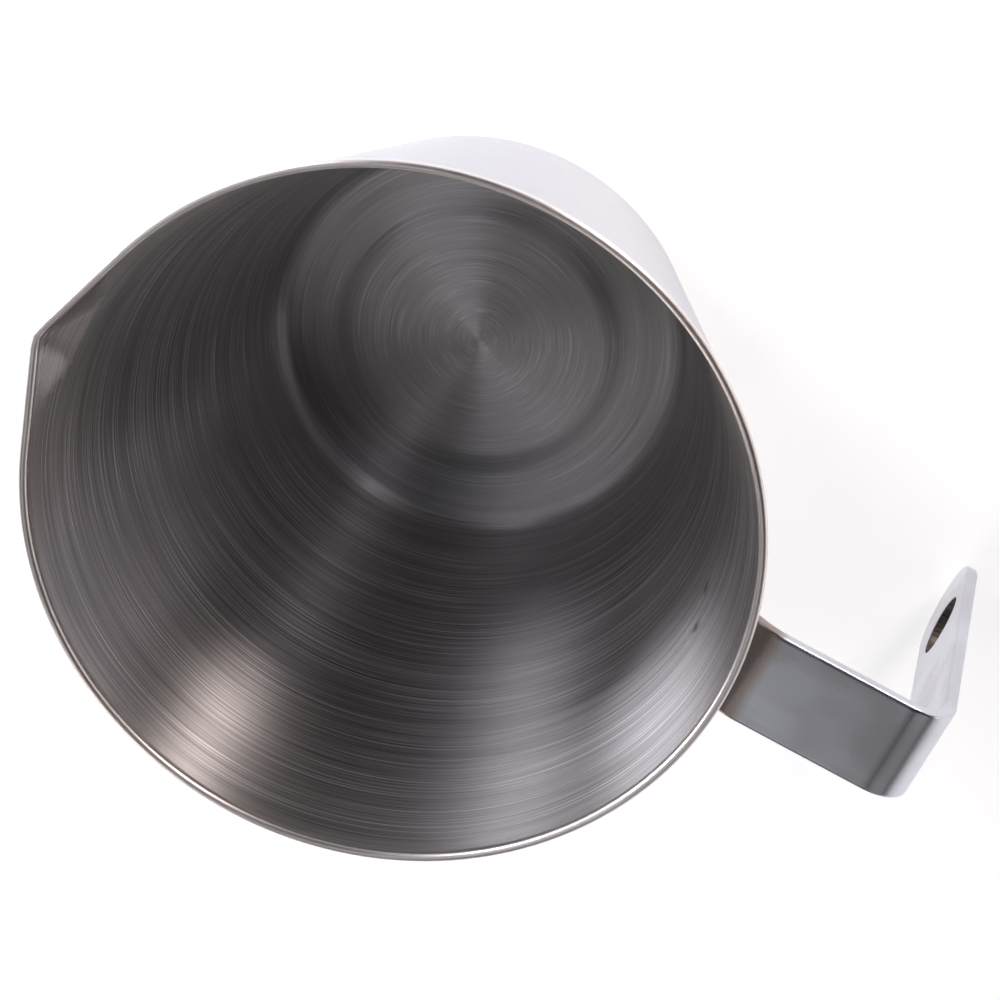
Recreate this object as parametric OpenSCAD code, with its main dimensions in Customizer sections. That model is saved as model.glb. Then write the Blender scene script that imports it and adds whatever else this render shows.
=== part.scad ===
// Candle melting pot: a drawn steel cup with a pinched pouring spout, and a bent strap handle that
// is spot-welded to the wall and hooks over the rim of a water bath. All sizes are in millimetres.
// The origin is the centre of the foot, on the ground. +Z is up, +X points to the handle and -X to
// the spout, and the cup's own axis is Z.

/* [Cup] */
// Outer radius of the rim
rim_r = 55; // [45:0.5:70]
// Height from the ground to the top of the rim
cup_h = 77; // [60:0.5:100]
// Outer radius of the base, where the line of the wall would meet the ground
base_r = 33.9; // [27:0.1:41]
// Thickness of the sheet
sheet_t = 0.9; // [0.6:0.05:1.2]
// Outer radius of the rounded corner between the wall and the base
corner_r = 4.5; // [3:0.1:6]
// How far the rounded rim stands out of the wall's line
rim_out = 0.2; // [0.1:0.05:0.4]
// How far the rounded rim stands in of the wall's inner face
rim_in = 0.05; // [0.05:0.05:0.3]

/* [Base] */
// Width of the flat ring that the cup stands on
foot_w = 6; // [3:0.1:7]
// Height of the stamped panel inside that ring
panel_rise = 0.8; // [0.5:0.1:2]
// Width of the slope between the ring and the panel
panel_slope_w = 4.8; // [2:0.1:5]

/* [Spout] */
// How far the tip stands out of the rim's circle
spout_out = 3; // [2:0.1:5]
// Depth of the pinched facets below the rim
spout_depth = 8.5; // [6:0.1:12]
// Width of the middle facet where it runs out into the wall
spout_floor_w = 10; // [6:0.5:14]

/* [Handle] */
// Width of the strap
strap_w = 16; // [12:0.5:20]
// Thickness of the strap
strap_t = 2; // [1.5:0.1:2.5]
// Depth of the arm's top face below the top of the rim
arm_drop = 12.7; // [8:0.1:20]
// Clear gap between the rim's circle and the hook leg
hook_gap = 30.7; // [20:0.1:40]
// Inner radius of the bend from the tab to the arm
root_bend_r = 9; // [5:0.1:11]
// Inner radius of the bend from the arm to the hook leg
leg_bend_r = 5; // [3:0.1:8]
// Length of the flat tab on the wall, below its bend
tab_len = 16; // [13:0.5:20]
// Radius of the tab's two lower corners
tab_corner_r = 3; // [1:0.5:6]
// Height of the leg's tip above the ground
leg_lift = 1; // [0.5:0.1:10]

/* [Hanging hole] */
// Diameter of the hole
hole_d = 10; // [6:0.1:11]
// Distance from the leg's tip to the middle of the hole
hole_up = 14; // [8:0.1:20]

/* [Spot welds] */
// Diameter of a weld nugget
weld_d = 3.6; // [3:0.1:4.5]
// Distance of the upper weld below the top of the tab, along the wall
weld_first = 0.4; // [0.1:0.1:4]
// Distance from the upper weld down to the lower one, along the wall
weld_pitch = 4.6; // [4:0.1:8]
// Place of the upper weld across the tab, from its middle
upper_weld_side = -1.4; // [-3:0.1:3]
// Place of the lower weld across the tab, from its middle
lower_weld_side = 3.2; // [-4:0.1:4]
// How deep a nugget reaches into the strap
weld_bite = 0.7; // [0.4:0.1:1]

/* [Hidden] */
$fn = 96;
body_colour = "dimgray";
strap_colour = "silver";
weld_colour = "slategray";
// straight steps in an arc or an S-curve of the cup's outline
arc_steps = 8;
// how far a cutting shape reaches past what it cuts
past = 2;
// how far one shape is sunk into the next, so that they join cleanly
sunk = 0.1;
// how much fuller a curved or straight run is than the one that ends inside it
fuller = 0.02;

// Wall: its rise in radius per millimetre of height, its lean and its thickness measured level
slope = (rim_r - rim_out - base_r) / cup_h;
lean = atan(slope);
wall_level_t = sheet_t / cos(lean);

// Rim: the radius of its round edge, and the circle that the middle of the edge follows
edge_r = (rim_out + rim_in + wall_level_t) / (2 - slope);
edge_z = cup_h - edge_r;
edge_c = rim_r - edge_r;

// Base: the turn from ring to wall, the ring's two radii and the panel's radius
corner_turn = 90 - lean;
foot_out_r = base_r - corner_r * tan(corner_turn / 2);
foot_in_r = foot_out_r - foot_w;
panel_r = foot_in_r - panel_slope_w;

// Spout: the angle from its tip to where its straight sides touch the rim's circle
spout_angle = acos(rim_r / (rim_r + spout_out));

// Handle: heights of the arm, bends and leg tip, and the places of the bends and the leg
arm_z = cup_h - arm_drop;
root_bend_z = arm_z - root_bend_r - strap_t;
// distance from the line of the root bend to the wall
root_out_r = root_bend_r + strap_t + fuller;
root_bend_x = base_r + slope * root_bend_z + root_out_r / cos(lean);
leg_x = rim_r + hook_gap + strap_t;
leg_bend_x = leg_x - strap_t - leg_bend_r;
leg_bend_z = arm_z - strap_t - leg_bend_r;
leg_round_z = leg_lift + strap_w / 2;
hole_z = leg_lift + hole_up;
// top of the tab, where the bend leaves the wall
tab_top_x = root_bend_x - root_out_r * cos(lean);
tab_top_z = root_bend_z + root_out_r * sin(lean);
// how far a flat tab would stand off the curved wall at its edges, at its narrow end
tab_fill = strap_w * strap_w / (8 * (tab_top_x - tab_len)) + sunk;

// Outer radius of the wall at height z, for a skin that lies inset inside the outer face
function wall_r(z, inset) = base_r + slope * z - inset / cos(lean);

// The stamped slope from the panel down to the ring, as an S-curve
function panel_slope(inset) = [
    for (i = [0 : arc_steps])
        [panel_r + panel_slope_w * i / arc_steps,
         inset + panel_rise * (1 + cos(180 * i / arc_steps)) / 2]
];

// The rounded corner from the ring up to the wall
function base_corner(inset) = [
    for (i = [0 : arc_steps])
        let (a = -90 + corner_turn * i / arc_steps)
        [foot_out_r + (corner_r - inset) * cos(a), corner_r + (corner_r - inset) * sin(a)]
];

// Half outline of the cup's solid shape up to height top
function cup_outline(inset, top) = concat(
    [[0, panel_rise + inset]],
    panel_slope(inset),
    base_corner(inset),
    [[wall_r(top, inset), top], [0, top]]
);

// The spout's corner seen from above at the rim: where its two sides leave the wall, and its tip
function spout_plan(inset) =
    let (r = wall_r(edge_z, inset))
    [
        [-(r - sunk) * cos(spout_angle), (r - sunk) * sin(spout_angle)],
        [-r / cos(spout_angle), 0],
        [-(r - sunk) * cos(spout_angle), -(r - sunk) * sin(spout_angle)]
    ];

// One point of the spout's lower end, side being 1 or -1
function spout_foot(inset, side) =
    let (z = edge_z - spout_depth)
    let (r = wall_r(z, inset) - sunk)
    [-sqrt(r * r - spout_floor_w * spout_floor_w / 4), side * spout_floor_w / 2, z];

module cup_shape(inset, top) {
    rotate_extrude()
        polygon(cup_outline(inset, top));
}

// Three flat facets that meet at the tip: one to each side and a narrow one below
module spout_shape(inset) {
    polyhedron(
        points = concat(
            [for (p = spout_plan(inset)) [p[0], p[1], edge_z]],
            [spout_foot(inset, 1), spout_foot(inset, -1)]
        ),
        faces = [[2, 1, 0], [2, 0, 3, 4], [0, 1, 3], [1, 4, 3], [1, 2, 4]]
    );
}

// The round edge: a ring round the rim, whose ends lie inside two straight runs to the tip, which
// meet in a mitre there
module rim_edge() {
    ring_end = spout_angle - asin(sunk / edge_c);
    translate([0, 0, edge_z])
        rotate([0, 0, 180 + ring_end])
            rotate_extrude(angle = 360 - 2 * ring_end)
                translate([edge_c, 0])
                    circle(r = edge_r - fuller);
    for (side = [0, 1])
        mirror([0, side, 0])
            difference() {
                translate([0, 0, edge_z])
                    rotate([0, 0, 180 - spout_angle])
                        translate([edge_c, -sunk, 0])
                            rotate([-90, 0, 0])
                                cylinder(r = edge_r, h = edge_c * tan(spout_angle) + past);
                translate([-2 * rim_r, -rim_r, 0])
                    cube([2 * rim_r, rim_r, 2 * cup_h]);
            }
}

// Puts a child on the wall at a distance down from the top of the tab and to one side of its
// middle, with its own Z pointing straight out of the wall
module on_wall(down, side) {
    z = tab_top_z - down * cos(lean);
    rotate([0, 0, asin(side / wall_r(z, 0))])
        translate([wall_r(z, 0), 0, z])
            rotate([0, 90 + lean, 0])
                children();
}

module weld_nugget(down, side) {
    on_wall(down, side)
        translate([0, 0, -sheet_t / 2])
            cylinder(d = weld_d, h = sheet_t / 2 + weld_bite);
}

module upper_nugget() {
    weld_nugget(weld_first, upper_weld_side);
}

module lower_nugget() {
    weld_nugget(weld_first + weld_pitch, lower_weld_side);
}

// A bend about a line along Y at x and z, of inner radius r, from angle start through turn
module strap_bend(x, z, r, start, turn) {
    translate([x, strap_w / 2, z])
        rotate([90, 0, 0])
            rotate([0, 0, start])
                rotate_extrude(angle = turn)
                    translate([r, 0])
                        square([strap_t, strap_w]);
}

// The tab: flat outside, pressed to the curve of the wall inside, with two round lower corners
module strap_tab() {
    difference() {
        translate([tab_top_x, 0, tab_top_z])
            rotate([0, lean, 0])
                translate([-tab_fill, 0, 0])
                    rotate([0, 90, 0])
                        linear_extrude(height = tab_fill + strap_t)
                            tab_outline();
        cylinder(r1 = base_r, r2 = wall_r(cup_h, 0), h = cup_h);
    }
}

// The tab lying flat: X runs down the wall and Y across it
module tab_outline() {
    straight = tab_len - tab_corner_r;
    tab_w = strap_w - 2 * fuller;
    translate([-sunk, -tab_w / 2])
        square([straight + sunk, tab_w]);
    translate([0, tab_corner_r - tab_w / 2])
        square([tab_len, tab_w - 2 * tab_corner_r]);
    for (side = [-1, 1])
        translate([straight, side * (tab_w / 2 - tab_corner_r)])
            circle(r = tab_corner_r);
}

module strap_leg() {
    difference() {
        union() {
            translate([leg_x - strap_t, -strap_w / 2, leg_round_z])
                cube([strap_t, strap_w, leg_bend_z - leg_round_z]);
            translate([leg_x - strap_t, 0, leg_round_z])
                rotate([0, 90, 0])
                    cylinder(d = strap_w, h = strap_t);
        }
        translate([leg_x - strap_t - past, 0, hole_z])
            rotate([0, 90, 0])
                cylinder(d = hole_d, h = strap_t + 2 * past);
    }
}

module strap_arm() {
    translate([root_bend_x, -strap_w / 2, arm_z - strap_t])
        cube([leg_bend_x - root_bend_x, strap_w, strap_t]);
}

module pot_body() {
    color(body_colour)
        difference() {
            union() {
                difference() {
                    union() {
                        cup_shape(0, edge_z);
                        spout_shape(0);
                    }
                    cup_shape(sheet_t, edge_z + past);
                    spout_shape(sheet_t);
                    translate([0, 0, edge_z])
                        linear_extrude(height = past)
                            polygon(spout_plan(sheet_t));
                }
                rim_edge();
            }
            upper_nugget();
            lower_nugget();
        }
}

module handle_strap() {
    color(strap_colour)
        difference() {
            union() {
                strap_tab();
                strap_bend(root_bend_x, root_bend_z, root_bend_r, 90, 90 - lean);
                strap_arm();
                strap_bend(leg_bend_x, leg_bend_z, leg_bend_r, 0, 90);
                strap_leg();
            }
            upper_nugget();
            lower_nugget();
        }
}

module upper_spot_weld() {
    color(weld_colour)
        upper_nugget();
}

module lower_spot_weld() {
    color(weld_colour)
        lower_nugget();
}

pot_body();
handle_strap();
upper_spot_weld();
lower_spot_weld();
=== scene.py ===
import math

import bmesh
import bpy
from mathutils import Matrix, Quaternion, Vector


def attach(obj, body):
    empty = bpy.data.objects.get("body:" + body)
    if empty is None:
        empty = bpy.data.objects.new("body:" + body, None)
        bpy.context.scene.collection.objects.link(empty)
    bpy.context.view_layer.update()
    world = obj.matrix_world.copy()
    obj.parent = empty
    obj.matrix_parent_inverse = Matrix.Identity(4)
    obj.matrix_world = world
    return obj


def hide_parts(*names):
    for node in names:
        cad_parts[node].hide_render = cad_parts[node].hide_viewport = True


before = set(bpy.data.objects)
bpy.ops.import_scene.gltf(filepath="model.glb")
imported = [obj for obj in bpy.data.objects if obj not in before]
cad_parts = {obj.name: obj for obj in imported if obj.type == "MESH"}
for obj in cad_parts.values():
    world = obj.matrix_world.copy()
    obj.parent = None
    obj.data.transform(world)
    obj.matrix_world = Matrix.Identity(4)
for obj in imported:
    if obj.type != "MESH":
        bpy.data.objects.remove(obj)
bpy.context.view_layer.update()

# ---------------------------------------------------------------- sizes, in millimetres
MM = 0.001

# cup
RIM_R = 55.0
CUP_H = 77.0
BASE_R = 33.9
SHEET = 0.9
CORNER_R = 4.5
RIM_OUT = 0.2
RIM_IN = 0.05
FOOT_W = 6.0
PANEL_RISE = 0.8
PANEL_SLOPE_W = 4.8

SLOPE = (RIM_R - RIM_OUT - BASE_R) / CUP_H
LEAN = math.atan(SLOPE)
WALL_LEVEL = SHEET / math.cos(LEAN)
EDGE_R = (RIM_OUT + RIM_IN + WALL_LEVEL) / (2 - SLOPE)
EDGE_Z = CUP_H - EDGE_R
EDGE_C = RIM_R - EDGE_R
CORNER_TURN = math.pi / 2 - LEAN
FOOT_OUT_R = BASE_R - CORNER_R * math.tan(CORNER_TURN / 2)
FOOT_IN_R = FOOT_OUT_R - FOOT_W
PANEL_R = FOOT_IN_R - PANEL_SLOPE_W

# spout
SPOUT_OUT = 3.0
SPOUT_DEPTH = 8.5
SPOUT_FLOOR_W = 10.0
SPOUT_ANGLE = math.acos(RIM_R / (RIM_R + SPOUT_OUT))
CREASE_R = 0.15
PRESS_BELOW = 3
PRESS_MIN_R = 40

# handle
STRAP_W = 16.0
STRAP_T = 2.0
ARM_Z = CUP_H - 12.7
ROOT_BEND_R = 9.0
LEG_BEND_R = 5.0
HOOK_GAP = 30.7
SEAT_GAP = 0.02
TAB_LEN = 16.0
TAB_CORNER_R = 3.0
LEG_LIFT = 1.0
HOLE_R = 5.0
HOLE_UP = 14.0
HOLE_Z = LEG_LIFT + HOLE_UP
EDGE_ROUND = 0.5
HOLE_BREAK = 0.22
# the flat map's units to a metre of strip
STRIP_MAP = 8

ROOT_OUT_R = ROOT_BEND_R + STRAP_T
ROOT_X = BASE_R + SLOPE * (ARM_Z - ROOT_OUT_R) + (ROOT_OUT_R + SEAT_GAP) / math.cos(LEAN)
LEG_X = RIM_R + HOOK_GAP + STRAP_T
LEG_BEND_X = LEG_X - STRAP_T - LEG_BEND_R
ROOT_TURN = math.pi / 2 - LEAN
LEG_TURN = math.pi / 2

# how finely the curves are cut
SPIN_STEPS = 150
SPOUT_HALF = math.radians(30)
SLOPE_STEPS = 16
CORNER_STEPS = 16
EDGE_STEPS = 18
BEND_STEPS = 18
LEG_END_STEPS = 28
TAB_CORNER_STEPS = 8
HOLE_STEPS = 72
PANEL_PITCH = 3
FOOT_PITCH = 1.3
WALL_PITCH = 2.2
LIP_PITCH = 0.42
LIP_BAND = 14


# ---------------------------------------------------------------- small tools
def only(obj):
    """Leaves obj alone selected and active, in object mode."""
    if bpy.context.object and bpy.context.object.mode != "OBJECT":
        bpy.ops.object.mode_set(mode="OBJECT")
    bpy.ops.object.select_all(action="DESELECT")
    obj.select_set(True)
    bpy.context.view_layer.objects.active = obj


def edit(obj):
    only(obj)
    bpy.ops.object.mode_set(mode="EDIT")


def named(name):
    """The new primitive, which is the active object, under its own name."""
    obj = bpy.context.object
    obj.name = name
    obj.data.name = name
    return obj


def pick(obj, vert=None, edge=None, face=None):
    """In edit mode, selects what a test on place or normal picks, and nothing else."""
    kind = "VERT" if vert else "EDGE" if edge else "FACE"
    bpy.ops.mesh.select_mode(type=kind)
    bpy.ops.mesh.select_all(action="DESELECT")
    bm = bmesh.from_edit_mesh(obj.data)
    for item in bm.verts if vert else bm.edges if edge else bm.faces:
        if (vert or edge or face)(item):
            item.select = True
    bm.select_flush_mode()
    bmesh.update_edit_mesh(obj.data)


def clean(obj, distance=0.00001):
    """Merges doubles and turns every face outwards."""
    edit(obj)
    bpy.ops.mesh.select_all(action="SELECT")
    bpy.ops.mesh.remove_doubles(threshold=distance)
    bpy.ops.mesh.normals_make_consistent(inside=False)
    bpy.ops.object.mode_set(mode="OBJECT")


# ---------------------------------------------------------------- the cup
def arc(cx, cz, r, start, end, steps):
    """Points along an arc, both ends included."""
    turns = [start + (end - start) * i / steps for i in range(steps + 1)]
    return [(cx + r * math.cos(turn), cz + r * math.sin(turn)) for turn in turns]


def run(a, b, pitch):
    """Points from a to b, a left out, no more than a pitch apart."""
    steps = max(1, math.ceil(math.dist(a, b) / pitch))
    return [(a[0] + (b[0] - a[0]) * i / steps, a[1] + (b[1] - a[1]) * i / steps) for i in range(1, steps + 1)]


def wall_r(z, inset):
    """The wall's radius at a height, a sheet's thickness or part of it inside its outer face."""
    return BASE_R + SLOPE * z - inset / math.cos(LEAN)


def skin(inset):
    """One face of the sheet, from the middle of the base up to the round edge."""
    panel_z = PANEL_RISE + inset
    line = [(0, panel_z)] + run((0, panel_z), (PANEL_R, panel_z), PANEL_PITCH)
    for i in range(1, SLOPE_STEPS + 1):
        share = i / SLOPE_STEPS
        rise = PANEL_RISE * (1 + math.cos(math.pi * share)) / 2
        line.append((PANEL_R + PANEL_SLOPE_W * share, inset + rise))
    line += run((FOOT_IN_R, inset), (FOOT_OUT_R, inset), FOOT_PITCH)
    line += arc(FOOT_OUT_R, CORNER_R, CORNER_R - inset, -math.pi / 2, -LEAN, CORNER_STEPS)[1:]
    low = CUP_H - LIP_BAND
    line += run(line[-1], (wall_r(low, inset), low), WALL_PITCH)
    # where the wall's line runs into the round edge
    a, b = SLOPE, wall_r(0, inset) - EDGE_C
    p, q, s = 1 + a * a, 2 * a * b - 2 * EDGE_Z, b * b + EDGE_Z * EDGE_Z - EDGE_R * EDGE_R
    top = (-q - math.sqrt(q * q - 4 * p * s)) / (2 * p)
    line += run(line[-1], (wall_r(top, inset), top), LIP_PITCH)
    return line


def cup_section():
    """The sheet's whole cross-section, out along its outer face and back along its inner one."""
    outer, inner = skin(0), skin(SHEET)
    start = math.atan2(outer[-1][1] - EDGE_Z, outer[-1][0] - EDGE_C)
    end = math.atan2(inner[-1][1] - EDGE_Z, inner[-1][0] - EDGE_C) % (2 * math.pi)
    return outer + arc(EDGE_C, EDGE_Z, EDGE_R, start, end, EDGE_STEPS)[1:-1] + inner[::-1]


def facet(a, b, c):
    """The plane through three points, as a unit normal that points away from the axis and its distance."""
    a, b, c = Vector(a), Vector(b), Vector(c)
    n = (b - a).cross(c - a).normalized()
    if n.x > 0:
        n = -n
    return n, n.dot(a)


def spout_facets(inset):
    """The planes of the spout's two sides and its floor, for one face of the sheet."""
    r = wall_r(EDGE_Z, inset)
    ends = [(-r * math.cos(SPOUT_ANGLE), s * r * math.sin(SPOUT_ANGLE), EDGE_Z) for s in (1, -1)]
    tip = (-r / math.cos(SPOUT_ANGLE), 0, EDGE_Z)
    z = EDGE_Z - SPOUT_DEPTH
    foot_r = wall_r(z, inset)
    x = -math.sqrt(foot_r**2 - SPOUT_FLOOR_W**2 / 4)
    feet = [(x, s * SPOUT_FLOOR_W / 2, z) for s in (1, -1)]
    return [facet(ends[0], tip, feet[0]), facet(tip, feet[0], feet[1]), facet(ends[1], tip, feet[1])]


def soft_min(values, r):
    """The least of some values, with the change from one to the next rounded by about r."""
    low = min(values)
    return low - r * math.log(sum(math.exp((low - v) / r) for v in values))


def press_spout(obj):
    """Pushes the wall out to the spout's three flat facets, as the press does."""
    skins = {inset: spout_facets(inset) for inset in (0, SHEET)}
    for v in obj.data.vertices:
        x, y, z = v.co / MM
        r = math.hypot(x, y)
        if x > 0 or z < EDGE_Z - SPOUT_DEPTH - PRESS_BELOW or r < PRESS_MIN_R:
            continue
        level = min(z, EDGE_Z)
        middle = wall_r(level, SHEET / 2)
        # each side facet ends where it runs out into the wall
        side_n = skins[0][0][0]
        if abs(y) * abs(side_n.x) > abs(x) * abs(side_n.y):
            continue
        # the round edge moves with the middle of the sheet, and the wall with its own face
        depth = 0.5 if z > EDGE_Z - 0.3 else 0.0 if r > middle else 1.0
        reach = []
        for inset, share in ((0, 1 - depth), (SHEET, depth)):
            if not share:
                continue
            u = Vector((x / r, y / r, 0))
            out = [(d - n.z * level) / n.dot(u) for n, d in skins[inset] if n.dot(u) > 0.2]
            cone = wall_r(level, inset)
            reach.append(share * (max(cone, soft_min(out, CREASE_R)) - cone))
        grow = sum(reach)
        if grow > 0:
            k = (r + grow) / r
            v.co.x *= k
            v.co.y *= k


def make_cup():
    """Draws the sheet's cross-section point by point and spins it, finely at the spout."""
    section = cup_section()
    bpy.ops.object.select_all(action="DESELECT")
    bpy.ops.mesh.primitive_plane_add(size=MM, location=(0, 0, 0))
    obj = named("pot_shell")
    edit(obj)
    bpy.ops.mesh.select_all(action="SELECT")
    bpy.ops.mesh.merge(type="CENTER")
    side = Vector((-math.cos(SPOUT_HALF), math.sin(SPOUT_HALF), 0))
    here = Vector((0, 0, 0))
    for i, (r, z) in enumerate(section):
        there = side * r * MM + Vector((0, 0, z * MM))
        if i == 0:
            bpy.ops.transform.translate(value=there - here)
        else:
            bpy.ops.mesh.extrude_vertices_move(TRANSFORM_OT_translate={"value": there - here})
        here = there
    bpy.ops.mesh.select_all(action="SELECT")
    for turn in (2 * SPOUT_HALF, 2 * math.pi - 2 * SPOUT_HALF):
        bpy.ops.mesh.spin(steps=SPIN_STEPS, angle=turn, center=(0, 0, 0), axis=(0, 0, 1))
    clean(obj)
    press_spout(obj)
    only(obj)
    bpy.ops.object.shade_smooth_by_angle(angle=math.radians(40))
    return obj


# ---------------------------------------------------------------- the handle strap
def make_strap():
    """Blanks the strip flat, punches its hole, rounds its edges and bends it line by line."""
    root_len = (ROOT_BEND_R + STRAP_T / 2) * ROOT_TURN
    leg_len = (LEG_BEND_R + STRAP_T / 2) * LEG_TURN
    leg_flat = ARM_Z - STRAP_T - LEG_BEND_R - LEG_LIFT
    x0 = ROOT_X - root_len - TAB_LEN
    x1 = LEG_BEND_X + leg_len + leg_flat
    z0 = ARM_Z - STRAP_T

    bpy.ops.object.select_all(action="DESELECT")
    bpy.ops.mesh.primitive_plane_add(size=MM, location=(0, 0, 0))
    obj = named("strap_handle")
    edit(obj)
    bpy.ops.mesh.select_all(action="SELECT")
    bpy.ops.transform.resize(value=(x1 - x0, STRAP_W, 1))
    bpy.ops.transform.translate(value=((x0 + x1) / 2 * MM, 0, z0 * MM))
    pick(obj, vert=lambda v: v.co.x > (x1 - 0.1) * MM)
    bpy.ops.mesh.bevel(offset=(STRAP_W / 2 - 0.01) * MM, segments=LEG_END_STEPS, affect="VERTICES")
    pick(obj, vert=lambda v: v.co.x < (x0 + 0.1) * MM)
    bpy.ops.mesh.bevel(offset=TAB_CORNER_R * MM, segments=TAB_CORNER_STEPS, affect="VERTICES")
    bpy.ops.mesh.select_mode(type="FACE")
    bpy.ops.mesh.select_all(action="SELECT")
    bpy.ops.mesh.extrude_region_move(TRANSFORM_OT_translate={"value": (0, 0, STRAP_T * MM)})
    clean(obj)

    # the punched hole
    bpy.ops.object.select_all(action="DESELECT")
    hole_x = x1 - HOLE_UP
    bpy.ops.mesh.primitive_cylinder_add(
        vertices=HOLE_STEPS, radius=HOLE_R * MM, depth=3 * STRAP_T * MM, location=(hole_x * MM, 0, ARM_Z * MM)
    )
    punch = named("punch")
    only(obj)
    cut = obj.modifiers.new("hole", "BOOLEAN")
    cut.operation = "DIFFERENCE"
    cut.object = punch
    cut.solver = "EXACT"
    bpy.ops.object.modifier_apply(modifier=cut.name)
    bpy.data.objects.remove(punch)

    # tumbled edges all round, and a lighter break at the hole
    low, high = (z0 + 0.01) * MM, (ARM_Z - 0.01) * MM
    centre = Vector((hole_x * MM, 0))

    def rim_edge(e, hole):
        a, b = e.verts
        level = (a.co.z < low and b.co.z < low) or (a.co.z > high and b.co.z > high)
        sharp = len(e.link_faces) == 2 and e.calc_face_angle(0) > 1
        near = max((a.co.xy - centre).length, (b.co.xy - centre).length) < (HOLE_R + 0.05) * MM
        return level and sharp and near == hole

    edit(obj)
    pick(obj, edge=lambda e: rim_edge(e, False))
    bpy.ops.mesh.bevel(offset=EDGE_ROUND * MM, segments=5, affect="EDGES")
    pick(obj, edge=lambda e: rim_edge(e, True))
    bpy.ops.mesh.bevel(offset=HOLE_BREAK * MM, segments=3, affect="EDGES")

    # cuts where the strip will bend, and lines along it
    shares = [(k + 0.5) / BEND_STEPS for k in range(BEND_STEPS)]
    root_lines = [ROOT_X - root_len * share for share in shares]
    leg_lines = [LEG_BEND_X + leg_len * share for share in shares]
    leg_top = LEG_BEND_X + leg_len
    flat_lines = [x0 + step for step in (3.4, 6, 9, 12, 15)]
    flat_lines += [ROOT_X + 0.5, ROOT_X + 4, ROOT_X + 10, LEG_BEND_X - 4, LEG_BEND_X - 0.5]
    flat_lines.append(x0 + TAB_LEN - 0.6)
    flat_lines += [leg_top + step for step in (0.6, 6, 14, 24)]
    flat_lines.append(hole_x - 7)
    for x in root_lines + leg_lines + flat_lines:
        bpy.ops.mesh.select_all(action="SELECT")
        bpy.ops.mesh.bisect(plane_co=(x * MM, 0, 0), plane_no=(1, 0, 0))
    for y in [-7.2, -6, -4, -2, 0, 2, 4, 6, 7.2]:
        bpy.ops.mesh.select_all(action="SELECT")
        bpy.ops.mesh.bisect(plane_co=(0, y * MM, 0), plane_no=(0, 1, 0))
    clean(obj)

    # the strip's own flat map, so that its rolling lines follow the bends
    strip = obj.data.uv_layers.new(name="strip")
    for loop in obj.data.loops:
        co = obj.data.vertices[loop.vertex_index].co
        strip.data[loop.index].uv = (co.x * STRIP_MAP, co.y * STRIP_MAP + 0.5)

    # bends from the far end inwards, so that each line is still flat when its turn comes
    flat = [v.co.x / MM for v in obj.data.vertices]
    mid = z0 + STRAP_T / 2
    bpy.context.tool_settings.mesh_select_mode = (True, False, False)
    steps = [(x, -1, ROOT_TURN / BEND_STEPS) for x in reversed(root_lines)]
    steps += [(x, 1, LEG_TURN / BEND_STEPS) for x in reversed(leg_lines)]
    for x, way, turn in steps:
        for reach in (-0.001, 0.001):
            bpy.ops.object.mode_set(mode="OBJECT")
            for part in (obj.data.edges, obj.data.polygons):
                part.foreach_set("select", [False] * len(part))
            obj.data.vertices.foreach_set("select", [(f - x) * way > reach for f in flat])
            bpy.ops.object.mode_set(mode="EDIT")
            bpy.ops.transform.rotate(
                value=-way * turn / 2,
                orient_axis="Y",
                orient_type="GLOBAL",
                center_override=(x * MM, 0, mid * MM),
            )
    bpy.ops.object.mode_set(mode="OBJECT")

    # the tab pressed to the curve of the wall, the press fading out in the root bend
    for v, f in zip(obj.data.vertices, flat):
        share = min(1.0, max(0.0, (ROOT_X - root_len * 0.25 - f) / (root_len * 0.6)))
        share = share * share * (3 - 2 * share)
        y, z = v.co.y / MM, v.co.z / MM
        r = wall_r(z, 0)
        v.co.x -= share * (r - math.sqrt(r * r - y * y)) * MM
    clean(obj)
    only(obj)
    smooth = obj.modifiers.new("smooth", "WEIGHTED_NORMAL")
    smooth.keep_sharp = True
    bpy.ops.object.shade_smooth_by_angle(angle=math.radians(50))
    only(obj)
    bpy.ops.object.modifier_apply(modifier="smooth")
    return obj


cup = make_cup()
strap = make_strap()
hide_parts("pot_body")
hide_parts("handle_strap")
for piece, slot in ((cup, "spun_steel"), (strap, "strap_steel")):
    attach(piece, "root")


# ---------------------------------------------------------------- materials
# where the two weld electrodes pressed on the inside of the wall
TAB_TOP_Z = ARM_Z - ROOT_OUT_R + ROOT_OUT_R * math.sin(LEAN)


def inside_point(down, side):
    """A point on the wall's inner face, down along the tab from its top and to one side."""
    z = TAB_TOP_Z - down * math.cos(LEAN) + SHEET * math.sin(LEAN)
    r = wall_r(z, SHEET)
    return (math.sqrt(r * r - side * side), side, z)


INSIDE = ("#A4A1A0", "#D3D0CF")
# painted brightness: the spout's colours are paler than the inside's, for the light its facets catch
PRESSED_PAINTED_PALER = ("#D2CCC9", "#EFE9E6")
UPPER_MARK = inside_point(0.4, -1.4)
LOWER_MARK = inside_point(5.0, 3.2)


def linear(hex_code):
    """An sRGB hex colour as linear RGBA."""
    parts = [int(hex_code[i : i + 2], 16) / 255 for i in (1, 3, 5)]
    return [c / 12.92 if c <= 0.04045 else ((c + 0.055) / 1.055) ** 2.4 for c in parts] + [1.0]


def new_material(name):
    mat = bpy.data.materials.new(name)
    mat.use_nodes = True
    mat.node_tree.nodes.clear()
    return mat


def add(tree, kind, inputs=None, out=None, **settings):
    """One node with its settings, links and plain values; gives the output asked for, or its first."""
    node = tree.nodes.new(kind)
    for key, value in settings.items():
        setattr(node, key, value)
    for key, value in (inputs or {}).items():
        sockets = node.inputs if isinstance(key, int) else {s.name: s for s in node.inputs if s.enabled}
        socket = sockets[key]
        if isinstance(value, bpy.types.NodeSocket):
            tree.links.new(value, socket)
        else:
            socket.default_value = value
    return node.outputs[out] if out else next((s for s in node.outputs if s.enabled), None)


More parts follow.
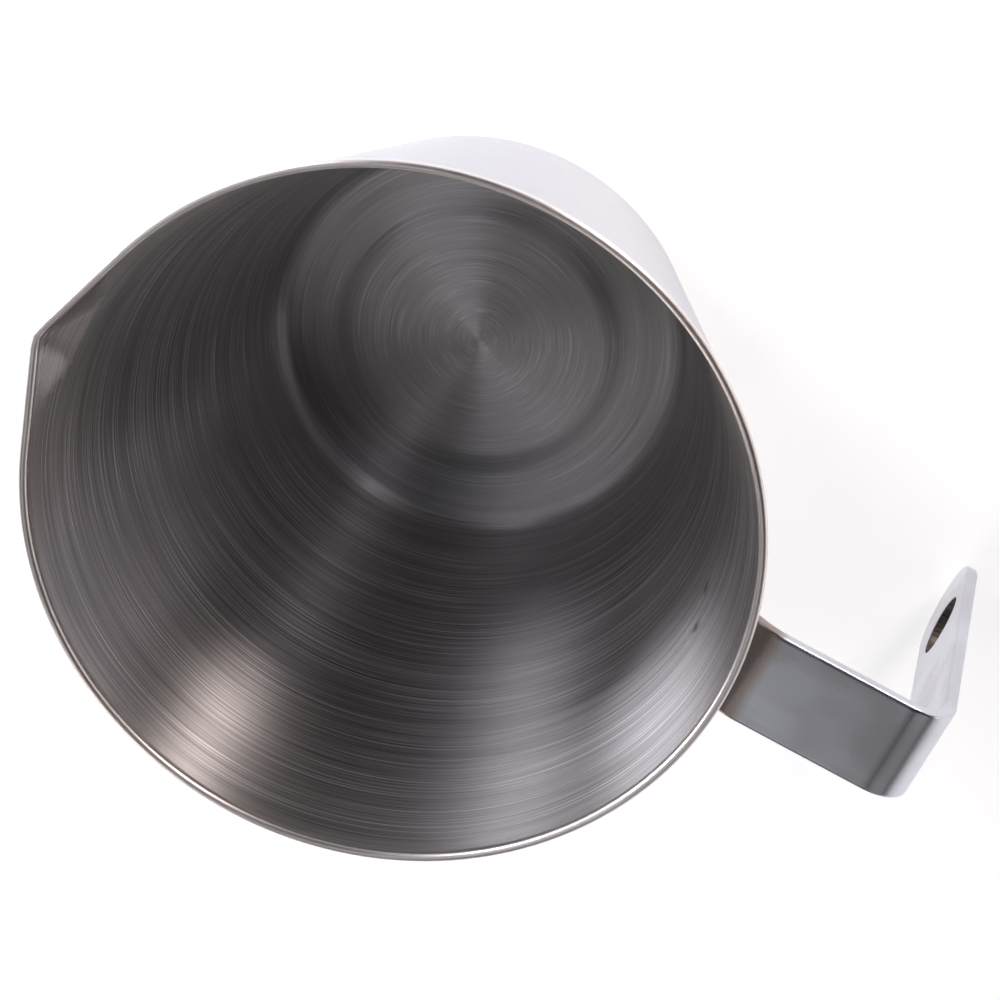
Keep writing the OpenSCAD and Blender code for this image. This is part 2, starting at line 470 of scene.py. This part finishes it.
def round_lines(t, across, length, detail):
    """Noise drawn out round the axis: lines per metre across the sheet, waves per radian along them."""
    place = add(t, "ShaderNodeTexCoord", out="Object")
    level = add(t, "ShaderNodeVectorMath", {0: place, 1: (1.0, 1.0, 0.0)}, operation="MULTIPLY")
    radius = add(t, "ShaderNodeVectorMath", {0: level}, operation="LENGTH")
    turn = add(t, "ShaderNodeVectorMath", {0: level}, operation="NORMALIZE")
    spread = add(t, "ShaderNodeVectorMath", {0: turn, 1: (length, length, 0.0)}, operation="MULTIPLY")
    # radius on the base and height on the wall both grow along the sheet, so their sum does too
    height = add(t, "ShaderNodeSeparateXYZ", {"Vector": place}, out="Z")
    along = add(t, "ShaderNodeMath", {0: radius, 1: height}, operation="ADD")
    line = add(t, "ShaderNodeMath", {0: along, 1: across}, operation="MULTIPLY")
    lift = add(t, "ShaderNodeCombineXYZ", {"Z": line})
    where = add(t, "ShaderNodeVectorMath", {0: spread, 1: lift}, operation="ADD")
    return add(t, "ShaderNodeTexNoise", {"Vector": where, "Scale": 1.0, "Detail": detail})


def round_tangent(t):
    """The direction of the spinning lines: level, and square to the radius."""
    place = add(t, "ShaderNodeTexCoord", out="Object")
    x = add(t, "ShaderNodeSeparateXYZ", {"Vector": place}, out="X")
    y = add(t, "ShaderNodeSeparateXYZ", {"Vector": place}, out="Y")
    back = add(t, "ShaderNodeMath", {0: y, 1: -1.0}, operation="MULTIPLY")
    return add(t, "ShaderNodeCombineXYZ", {"X": back, "Y": x})


def spot(t, point, reach, soft):
    """1 within reach of a point, in millimetres, falling to 0 over soft, with a ragged outline."""
    place = add(t, "ShaderNodeTexCoord", out="Object")
    ragged = add(t, "ShaderNodeTexNoise", {"Vector": place, "Scale": 900.0, "Detail": 2.0})
    gap = add(
        t, "ShaderNodeVectorMath", {0: place, 1: [c * MM for c in point]}, out="Value", operation="DISTANCE"
    )
    rough = add(t, "ShaderNodeMath", {0: ragged, 1: 0.0012, 2: gap}, operation="MULTIPLY_ADD")
    low = (reach + 0.6) * MM
    ends = {"From Min": low, "From Max": low + soft * MM, "To Min": 1.0, "To Max": 0.0}
    return add(t, "ShaderNodeMapRange", {"Value": rough, **ends}, interpolation_type="SMOOTHSTEP")


def spun_inside(name, pressed_painted_paler):
    """Stainless steel as it leaves the spinning lathe: drawn round in fine scratches, so light stretches
    across them into wedges and bands, with single strokes that catch brighter or darker. The scratches
    are 0.1 to 0.2 mm wide, twice the real ones, so that they show. The press has ironed them nearly
    flat in the spout, which is shinier; there the colour is painted paler, as painted brightness for
    the light that the spout's facets catch."""
    mat = new_material(name)
    t = mat.node_tree
    # the pressed spout takes the paler colours, which are painted brightness; its roughness and anisotropy
    # below are the press's real smoothing
    dark, pale = PRESSED_PAINTED_PALER if pressed_painted_paler else INSIDE
    strokes = round_lines(t, 4800.0, 1.3, 1.5)
    hair = round_lines(t, 9500.0, 3.5, 1.0)
    bands = round_lines(t, 380.0, 0.5, 2.0)
    fine = add(t, "ShaderNodeMix", {"Factor": 0.35, "A": strokes, "B": hair})
    # the lines run close and quiet on the base
    place = add(t, "ShaderNodeTexCoord", out="Object")
    level = add(t, "ShaderNodeVectorMath", {0: place, 1: (1.0, 1.0, 0.0)}, operation="MULTIPLY")
    radius = add(t, "ShaderNodeVectorMath", {0: level}, operation="LENGTH")
    ends = {"From Min": 0.03, "From Max": 0.042, "To Min": 0.22, "To Max": 1.0}
    show = add(t, "ShaderNodeMapRange", {"Value": radius, **ends})
    ends = {"From Min": 0.4, "From Max": 0.6, "To Min": -0.5, "To Max": 0.5}
    tone = add(t, "ShaderNodeMapRange", {"Value": fine, **ends})
    tone = add(t, "ShaderNodeMath", {0: tone, 1: show, 2: 0.5}, operation="MULTIPLY_ADD")
    colour = add(t, "ShaderNodeMix", {"Factor": tone, "A": linear(dark), "B": linear(pale)}, data_type="RGBA")
    cloud = add(t, "ShaderNodeMapRange", {"Value": bands, "From Min": 0.35, "From Max": 0.65, "To Max": 0.3})
    colour = add(t, "ShaderNodeMix", {"Factor": cloud, "A": colour, "B": linear("#9A9594")}, data_type="RGBA")
    # single deep strokes, and single bright ones
    ends = {"From Min": 0.31, "From Max": 0.36, "To Min": 0.75, "To Max": 0.0}
    deep = add(t, "ShaderNodeMapRange", {"Value": strokes, **ends})
    deep = add(t, "ShaderNodeMath", {0: deep, 1: show}, operation="MULTIPLY")
    colour = add(t, "ShaderNodeMix", {"Factor": deep, "A": colour, "B": linear("#6C6868")}, data_type="RGBA")
    bright = add(t, "ShaderNodeMapRange", {"Value": strokes, "From Min": 0.61, "From Max": 0.66})
    bright = add(t, "ShaderNodeMath", {0: bright, 1: show}, operation="MULTIPLY")
    colour = add(
        t, "ShaderNodeMix", {"Factor": bright, "A": colour, "B": linear("#FFFDFB")}, data_type="RGBA"
    )
    # a band under the edge that the buffing wheel reached
    height = add(t, "ShaderNodeSeparateXYZ", {"Vector": place}, out="Z")
    ends = {"From Min": (CUP_H - 3.4) * MM, "From Max": (CUP_H - 2.6) * MM, "To Max": 0.45}
    lip = add(t, "ShaderNodeMapRange", {"Value": height, **ends})
    colour = add(t, "ShaderNodeMix", {"Factor": lip, "A": colour, "B": linear("#E4DEDB")}, data_type="RGBA")
    # the spots that the weld electrodes pressed and browned
    spots = [spot(t, mark, 1.5, 0.9) for mark in (UPPER_MARK, LOWER_MARK)]
    halo = add(t, "ShaderNodeMath", {0: spots[0], 1: spots[1]}, operation="MAXIMUM")
    spots = [spot(t, mark, 0.4, 0.9) for mark in (UPPER_MARK, LOWER_MARK)]
    core = add(t, "ShaderNodeMath", {0: spots[0], 1: spots[1]}, operation="MAXIMUM")
    part = add(t, "ShaderNodeMath", {0: halo, 1: 0.35}, operation="MULTIPLY")
    colour = add(t, "ShaderNodeMix", {"Factor": part, "A": colour, "B": linear("#6E6158")}, data_type="RGBA")
    part = add(t, "ShaderNodeMath", {0: core, 1: 0.6}, operation="MULTIPLY")
    colour = add(t, "ShaderNodeMix", {"Factor": part, "A": colour, "B": linear("#3E3936")}, data_type="RGBA")
    ends = {"To Min": 0.38 if pressed_painted_paler else 0.44, "To Max": 0.32 if pressed_painted_paler else 0.37}
    satin = add(t, "ShaderNodeMapRange", {"Value": tone, **ends})
    satin = add(t, "ShaderNodeMath", {0: lip, 1: -0.12, 2: satin}, operation="MULTIPLY_ADD")
    satin = add(t, "ShaderNodeMath", {0: halo, 1: 0.1, 2: satin}, operation="MULTIPLY_ADD")
    relief = add(t, "ShaderNodeMath", {0: bands, 1: 0.8, 2: tone}, operation="MULTIPLY_ADD")
    relief = add(t, "ShaderNodeMath", {0: core, 1: -4.0, 2: relief}, operation="MULTIPLY_ADD")
    bump = add(
        t, "ShaderNodeBump", {"Height": relief, "Strength": 0.4 if pressed_painted_paler else 1.0, "Distance": 0.000006}
    )
    looks = {"Base Color": colour, "Roughness": satin, "Normal": bump, "Tangent": round_tangent(t)}
    steel = {"Metallic": 1.0, "Anisotropic": 0.75 if pressed_painted_paler else 0.9, "Anisotropic Rotation": 0.25}
    shader = add(t, "ShaderNodeBsdfPrincipled", {**looks, **steel})
    add(t, "ShaderNodeOutputMaterial", {"Surface": shader})
    return mat


def satin_outside():
    """The same sheet outside, gone over with a finer belt: a paler, quieter satin with only faint rings."""
    mat = new_material("satin stainless steel, outside")
    t = mat.node_tree
    hair = round_lines(t, 5200.0, 9.0, 2.0)
    bands = round_lines(t, 260.0, 0.8, 2.0)
    tone = add(t, "ShaderNodeMapRange", {"Value": hair, "From Min": 0.35, "From Max": 0.65})
    colour = add(
        t, "ShaderNodeMix", {"Factor": tone, "A": linear("#C6C6C9"), "B": linear("#D3D3D6")}, data_type="RGBA"
    )
    cloud = add(t, "ShaderNodeMapRange", {"Value": bands, "From Min": 0.35, "From Max": 0.65, "To Max": 0.4})
    colour = add(t, "ShaderNodeMix", {"Factor": cloud, "A": colour, "B": linear("#C9C6CC")}, data_type="RGBA")
    ends = {"From Min": 0.35, "From Max": 0.65, "To Min": 0.36, "To Max": 0.3}
    satin = add(t, "ShaderNodeMapRange", {"Value": hair, **ends})
    height = add(t, "ShaderNodeMath", {0: bands, 1: 0.8, 2: hair}, operation="MULTIPLY_ADD")
    bump = add(t, "ShaderNodeBump", {"Height": height, "Strength": 1.0, "Distance": 0.000004})
    looks = {"Base Color": colour, "Roughness": satin, "Normal": bump, "Tangent": round_tangent(t)}
    steel = {"Metallic": 1.0, "Anisotropic": 0.75, "Anisotropic Rotation": 0.25}
    shader = add(t, "ShaderNodeBsdfPrincipled", {**looks, **steel})
    add(t, "ShaderNodeOutputMaterial", {"Surface": shader})
    return mat


def buffed_edge():
    """The round edge, buffed so that nothing catches on it: a bright thin line with small nicks."""
    mat = new_material("buffed stainless steel edge")
    t = mat.node_tree
    hair = round_lines(t, 5000.0, 6.0, 2.0)
    nicks = round_lines(t, 900.0, 60.0, 1.0)
    tone = add(t, "ShaderNodeMapRange", {"Value": hair, "From Min": 0.35, "From Max": 0.65})
    colour = add(
        t, "ShaderNodeMix", {"Factor": tone, "A": linear("#E6DFDC"), "B": linear("#F2EBE7")}, data_type="RGBA"
    )
    ends = {"From Min": 0.6, "From Max": 0.75, "To Min": 0.36, "To Max": 0.42}
    satin = add(t, "ShaderNodeMapRange", {"Value": nicks, **ends})
    height = add(t, "ShaderNodeMath", {0: hair, 1: nicks}, operation="ADD")
    bump = add(t, "ShaderNodeBump", {"Height": height, "Strength": 1.0, "Distance": 0.000004})
    looks = {"Base Color": colour, "Roughness": satin, "Normal": bump, "Tangent": round_tangent(t)}
    steel = {"Metallic": 1.0, "Anisotropic": 0.5, "Anisotropic Rotation": 0.25}
    shader = add(t, "ShaderNodeBsdfPrincipled", {**looks, **steel})
    add(t, "ShaderNodeOutputMaterial", {"Surface": shader})
    return mat


def strip_noise(t, along, across, detail):
    """Noise on the strip's own flat map, in waves per metre along and across it."""
    flat = add(t, "ShaderNodeUVMap", uv_map="strip")
    waves = (along / STRIP_MAP, across / STRIP_MAP, 0.0)
    where = add(t, "ShaderNodeVectorMath", {0: flat, 1: waves}, operation="MULTIPLY")
    return add(t, "ShaderNodeTexNoise", {"Vector": where, "Scale": 1.0, "Detail": detail})


def rolled_strip():
    """Bright rolled strip, tumbled: it mirrors softly, with rolling lines along it almost rubbed away, a
    cloudy, handled look, and a painted reflection: the tab and the root bend are painted straw brown
    where the cup's wall shows in them."""
    mat = new_material("bright rolled stainless strip")
    t = mat.node_tree
    lines = strip_noise(t, 40.0, 3000.0, 1.0)
    clouds = strip_noise(t, 70.0, 110.0, 1.0)
    tone = add(t, "ShaderNodeMapRange", {"Value": lines, "From Min": 0.3, "From Max": 0.7})
    colour = add(
        t, "ShaderNodeMix", {"Factor": tone, "A": linear("#CDCED7"), "B": linear("#D3D4DC")}, data_type="RGBA"
    )
    ends = {"From Min": 0.35, "From Max": 0.7, "To Max": 0.35}
    cloud = add(t, "ShaderNodeMapRange", {"Value": clouds, **ends}, interpolation_type="SMOOTHSTEP")
    colour = add(t, "ShaderNodeMix", {"Factor": cloud, "A": colour, "B": linear("#A9A4A3")}, data_type="RGBA")
    # painted reflection: the tab and the root bend, next to the cup's wall, are darkened straw brown for the
    # wall mirrored in them
    along = add(t, "ShaderNodeSeparateXYZ", {"Vector": add(t, "ShaderNodeTexCoord", out="Object")}, out="X")
    ends = {"From Min": 0.058, "From Max": 0.0605, "To Min": 0.85, "To Max": 0.0}
    heat_tint_and_painted_reflection = add(t, "ShaderNodeMapRange", {"Value": along, **ends}, interpolation_type="SMOOTHSTEP")
    colour = add(t, "ShaderNodeMix", {"Factor": heat_tint_and_painted_reflection, "A": colour, "B": linear("#897A70")}, data_type="RGBA")
    ends = {"From Min": 0.3, "From Max": 0.7, "To Min": 0.24, "To Max": 0.3}
    satin = add(t, "ShaderNodeMapRange", {"Value": clouds, **ends})
    bump = add(t, "ShaderNodeBump", {"Height": lines, "Strength": 1.0, "Distance": 0.000001})
    looks = {"Base Color": colour, "Roughness": satin, "Normal": bump}
    shader = add(t, "ShaderNodeBsdfPrincipled", {**looks, "Metallic": 1.0})
    add(t, "ShaderNodeOutputMaterial", {"Surface": shader})
    return mat


def punched_wall():
    """The wall of the hole as the punch leaves it: a short shiny land and then torn, dull metal."""
    mat = new_material("punched stainless steel")
    t = mat.node_tree
    place = add(t, "ShaderNodeTexCoord", out="Object")
    tear = add(t, "ShaderNodeVectorMath", {0: place, 1: (700.0, 3500.0, 3500.0)}, operation="MULTIPLY")
    tear = add(t, "ShaderNodeTexNoise", {"Vector": tear, "Scale": 1.0, "Detail": 3.0})
    tone = add(t, "ShaderNodeMapRange", {"Value": tear, "From Min": 0.35, "From Max": 0.65})
    colour = add(
        t, "ShaderNodeMix", {"Factor": tone, "A": linear("#4E4946"), "B": linear("#7D7672")}, data_type="RGBA"
    )
    dull = add(t, "ShaderNodeMapRange", {"Value": tone, "To Min": 0.7, "To Max": 0.5})
    bump = add(t, "ShaderNodeBump", {"Height": tear, "Strength": 1.0, "Distance": 0.00005})
    looks = {"Base Color": colour, "Roughness": dull, "Normal": bump}
    shader = add(t, "ShaderNodeBsdfPrincipled", {**looks, "Metallic": 1.0})
    add(t, "ShaderNodeOutputMaterial", {"Surface": shader})
    return mat


def fused_steel():
    """Weld metal that has melted and set: dull, grainy and a little straw brown from the heat."""
    mat = new_material("fused weld steel")
    t = mat.node_tree
    place = add(t, "ShaderNodeTexCoord", out="Object")
    grain = add(t, "ShaderNodeTexNoise", {"Vector": place, "Scale": 2500.0, "Detail": 4.0, "Roughness": 0.6})
    heat_tint_and_painted_reflection = add(t, "ShaderNodeTexNoise", {"Vector": place, "Scale": 400.0, "Detail": 1.0})
    tone = add(t, "ShaderNodeMapRange", {"Value": grain, "From Min": 0.35, "From Max": 0.65})
    colour = add(
        t, "ShaderNodeMix", {"Factor": tone, "A": linear("#6F6A66"), "B": linear("#9A938C")}, data_type="RGBA"
    )
    straw = add(t, "ShaderNodeMapRange", {"Value": heat_tint_and_painted_reflection, "From Min": 0.4, "From Max": 0.7, "To Max": 0.5})
    colour = add(t, "ShaderNodeMix", {"Factor": straw, "A": colour, "B": linear("#8A7350")}, data_type="RGBA")
    ends = {"From Min": 0.35, "From Max": 0.65, "To Min": 0.6, "To Max": 0.42}
    dull = add(t, "ShaderNodeMapRange", {"Value": grain, **ends})
    bump = add(t, "ShaderNodeBump", {"Height": grain, "Strength": 1.0, "Distance": 0.00005})
    looks = {"Base Color": colour, "Roughness": dull, "Normal": bump}
    shader = add(t, "ShaderNodeBsdfPrincipled", {**looks, "Metallic": 1.0})
    add(t, "ShaderNodeOutputMaterial", {"Surface": shader})
    return mat


def coat(obj, mat):
    obj.data.materials.clear()
    obj.data.materials.append(mat)


# the buffed edge's height, the height where the base's underside ends, and the least push of the press
BUFFED_H = 1.2
LOW_Z = 2.5
PRESS_LEAST = 0.06
# the order of the cup's materials after the inside, and of the strap's after the rolled strip
OUTSIDE, EDGE, IRONED_PAINTED_PALER = 1, 2, 3
PUNCHED = 1
coat(cup, spun_inside("spun stainless steel, inside", False))
cup.data.materials.append(satin_outside())
cup.data.materials.append(buffed_edge())
cup.data.materials.append(spun_inside("spun stainless steel, pressed in the spout, painted paler", True))
for face in cup.data.polygons:
    x, y, z = face.center / MM
    r = math.hypot(x, y)
    outward = face.normal.x * x + face.normal.y * y > 0
    if z > CUP_H - BUFFED_H:
        face.material_index = EDGE
    elif (z > LOW_Z and outward) or (z < PANEL_RISE + SHEET / 2 and face.normal.z < -0.2):
        face.material_index = OUTSIDE
    # the spout's facets get the material with the painted paler colour
    elif x < 0 and z > CUP_H / 2 and r > wall_r(z, SHEET) + PRESS_LEAST:
        face.material_index = IRONED_PAINTED_PALER
coat(strap, rolled_strip())
strap.data.materials.append(punched_wall())
for face in strap.data.polygons:
    x, y, z = face.center / MM
    if x > LEG_BEND_X and math.hypot(y, z - HOLE_Z) < HOLE_R + 0.06 and abs(face.normal.x) < 0.5:
        face.material_index = PUNCHED
weld = fused_steel()
for name in ("upper_spot_weld", "lower_spot_weld"):
    coat(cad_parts[name], weld)

# ---------------------------------------------------------------- floor, light and camera
bpy.ops.object.select_all(action="DESELECT")
bpy.ops.mesh.primitive_plane_add(size=6, location=(0, 0, 0))
floor = named("floor")
white = new_material("white light table")
t = white.node_tree
place = add(t, "ShaderNodeTexCoord", out="Object")
grain = add(t, "ShaderNodeTexNoise", {"Vector": place, "Scale": 40.0, "Detail": 3.0})
tone = add(
    t, "ShaderNodeMix", {"Factor": grain, "A": linear("#F4F4F4"), "B": linear("#F8F8F8")}, data_type="RGBA"
)
glow = {"Roughness": 0.9, "Emission Color": linear("#FFFFFF"), "Emission Strength": 0.6}
shader = add(t, "ShaderNodeBsdfPrincipled", {"Base Color": tone, **glow})
add(t, "ShaderNodeOutputMaterial", {"Surface": shader})
coat(floor, white)

# a pale room round the table and a dark ceiling
scene = bpy.context.scene
world = bpy.data.worlds.new("studio")
scene.world = world
world.use_nodes = True
t = world.node_tree
t.nodes.clear()
up = add(t, "ShaderNodeSeparateXYZ", {"Vector": add(t, "ShaderNodeTexCoord", out="Generated")}, out="Z")
ends = {"From Min": 0.05, "From Max": 0.35, "To Min": 0.8, "To Max": 0.0}
room = add(t, "ShaderNodeMapRange", {"Value": up, **ends}, interpolation_type="SMOOTHSTEP")
sky = add(t, "ShaderNodeBackground", {"Color": linear("#FFFFFF"), "Strength": room})
add(t, "ShaderNodeOutputWorld", {"Surface": sky})


LIGHT_AWAY = 1.5
LIGHT_AIM = Vector((0, 0, 0.06))


def soft_box(name, azimuth, elevation, width, height, watts, colour="#FFFFFF"):
    """An area light that faces the cup; the azimuth is counted from the handle, and sizes are in metres."""
    light = bpy.data.lights.new(name, "AREA")
    light.shape = "ELLIPSE"
    light.size = width
    light.size_y = height
    light.energy = watts
    light.color = linear(colour)[:3]
    box = bpy.data.objects.new(name, light)
    scene.collection.objects.link(box)
    level = math.cos(math.radians(elevation))
    turn = math.radians(azimuth)
    way = Vector((level * math.cos(turn), level * math.sin(turn), math.sin(math.radians(elevation))))
    box.location = LIGHT_AIM + way * LIGHT_AWAY
    box.rotation_euler = (-way).to_track_quat("-Z", "Y").to_euler()


# a bright side by the spout, a warm low one behind and dim ones round the handle, under a dark ceiling
COOL = "#F4F4FF"
WARM = "#FFF0EC"
soft_box("spout side, low", 191, 14, 0.8, 0.28, 13.0, COOL)
soft_box("spout side, low back", 158, 14, 0.6, 0.3, 2.2, COOL)
soft_box("spout side", 155, 28, 0.6, 0.35, 6.2, COOL)
soft_box("spout side, left", 197, 28, 0.5, 0.3, 0.8, COOL)
soft_box("back, low", 75, 14, 0.35, 0.3, 6.8, WARM)
soft_box("back strip", 79, 42, 0.06, 1.0, 1.0, COOL)
soft_box("handle side, low", 2, 12, 1.0, 0.3, 1.2, WARM)
soft_box("handle side", 40, 22, 0.7, 0.5, 1.1, WARM)
soft_box("handle side, front", 322, 38, 0.9, 1.0, 0.7)
soft_box("front, low", 258, 25, 0.45, 0.35, 2.3, WARM)
soft_box("front strip", 266, 60, 0.95, 0.4, 0.76)
soft_box("spout side, high", 200, 60, 0.5, 0.3, 0.62, COOL)
soft_box("overhead", 210, 76, 0.3, 0.3, 0.58, COOL)
soft_box("overhead, back", 65, 76, 0.35, 0.3, 0.15, COOL)
soft_box("middle", 147, 44, 0.5, 0.3, 0.7, COOL)

scene.view_settings.view_transform = "Standard"
scene.view_settings.look = "None"

EYE = Vector((-8.4, 254.1, 593.3)) * MM
AIM = Vector((12.5, 11.9, 77.0)) * MM
ROLL = math.radians(-156.27)
camera = bpy.data.objects.new("camera", bpy.data.cameras.new("camera"))
scene.collection.objects.link(camera)
camera.data.lens = 144
camera.data.sensor_width = 36
camera.data.clip_end = 20
camera.rotation_mode = "QUATERNION"
camera.location = EYE
camera.rotation_quaternion = (AIM - EYE).to_track_quat("-Z", "Y") @ Quaternion((0, 0, 1), ROLL)
scene.camera = camera
